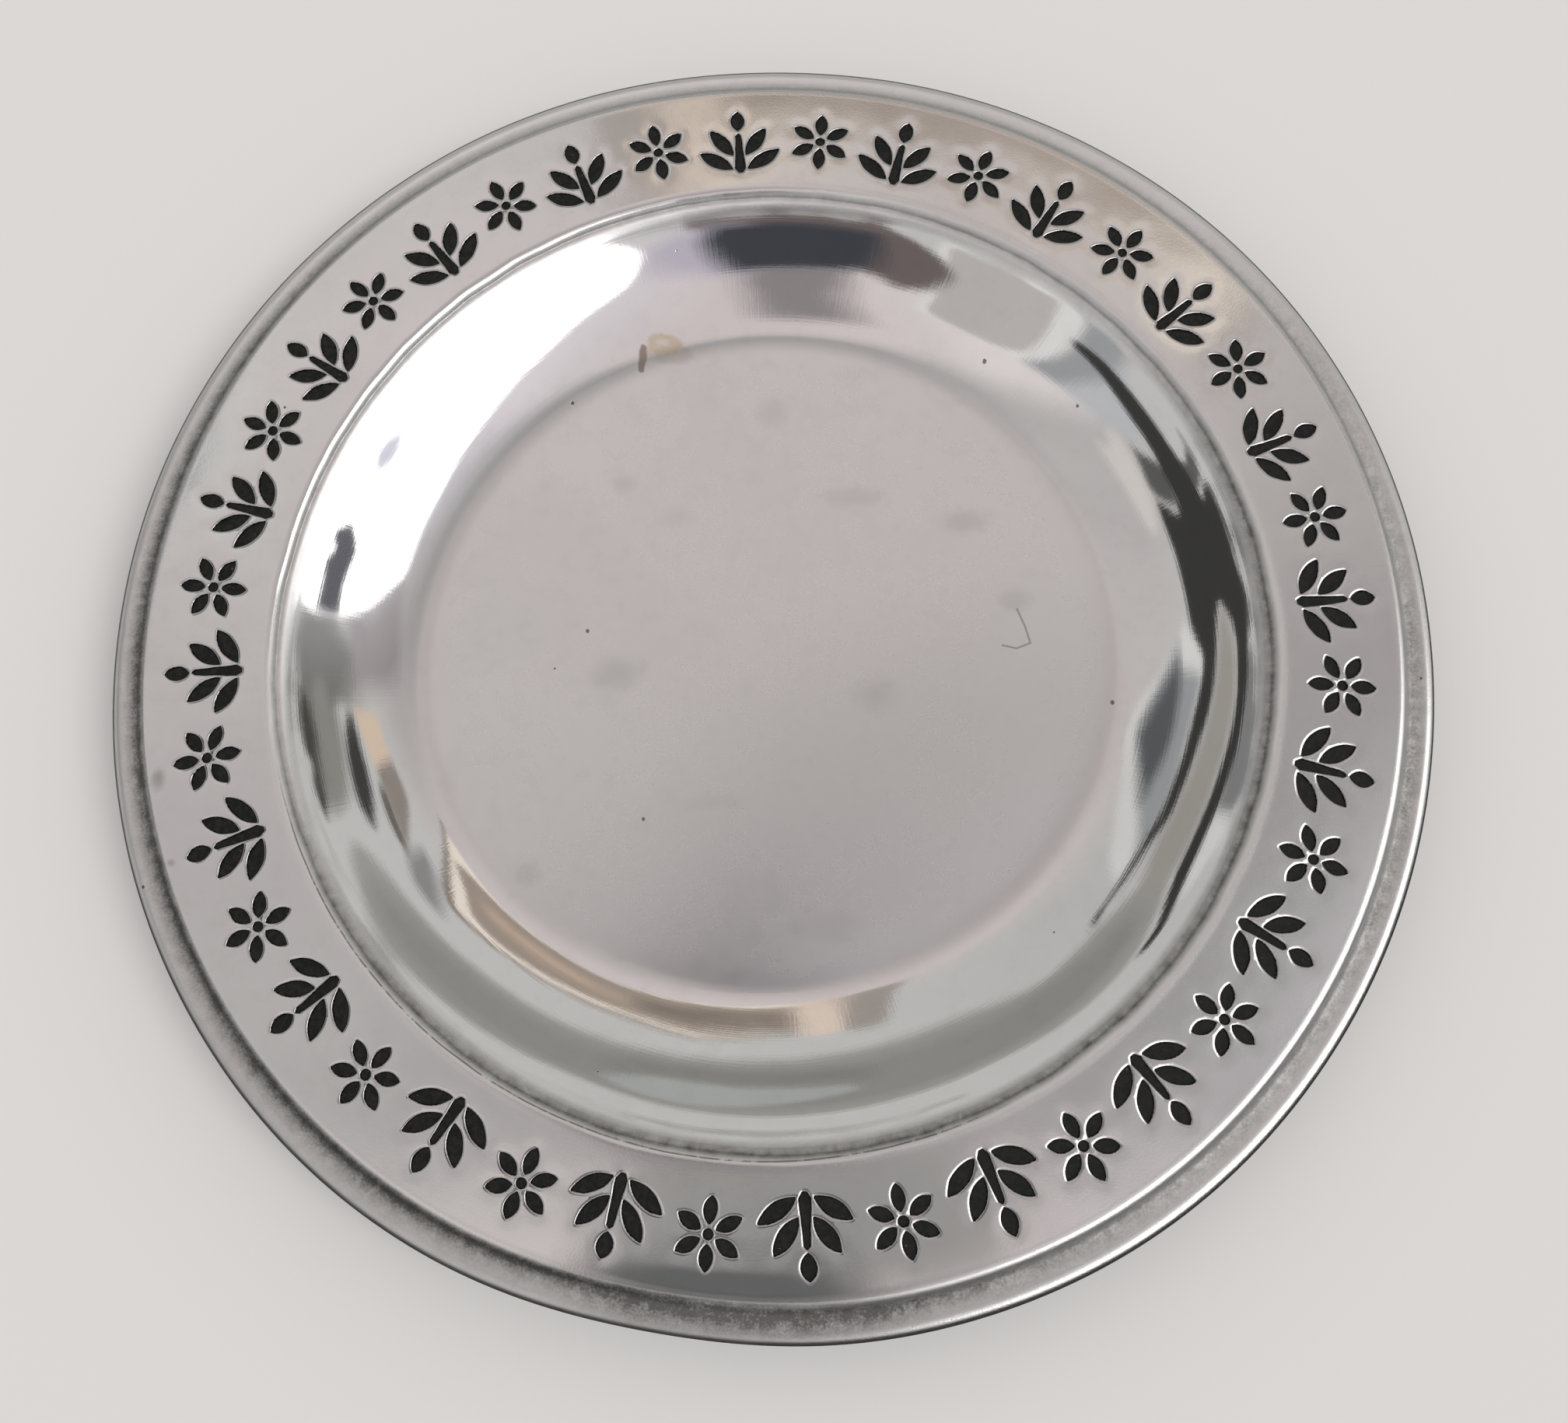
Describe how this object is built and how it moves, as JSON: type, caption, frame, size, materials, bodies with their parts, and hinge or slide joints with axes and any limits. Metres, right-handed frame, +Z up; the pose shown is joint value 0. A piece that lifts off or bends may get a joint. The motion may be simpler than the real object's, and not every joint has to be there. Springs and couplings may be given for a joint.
{
  "type": "cast pewter plate",
  "caption": "Round cast metal plate with a curved well, a flat rim band carrying a sunk black-filled leaf and rosette border, and a hollow behind the lip; it serves food or is displayed.",
  "frame": {"origin": "centre of the foot, on the surface the plate stands on", "axes": "+Z up along the plate's axis; +X and +Y lie in the foot's plane, with a sprig of the border on +Y"},
  "size_m": [0.27, 0.27, 0.0186],
  "materials": {
    "pewter": "polished",
    "black_fill": "matte"
  },
  "bodies": {
    "root": {"plate_casting": "pewter", "stem_inlay": "black_fill", "lower_leaf_inlay": "black_fill", "upper_leaf_inlay": "black_fill", "tip_leaf_inlay": "black_fill", "petal_inlay": "black_fill", "rosette_dot_inlay": "black_fill"}
  },
  "joints": []
}
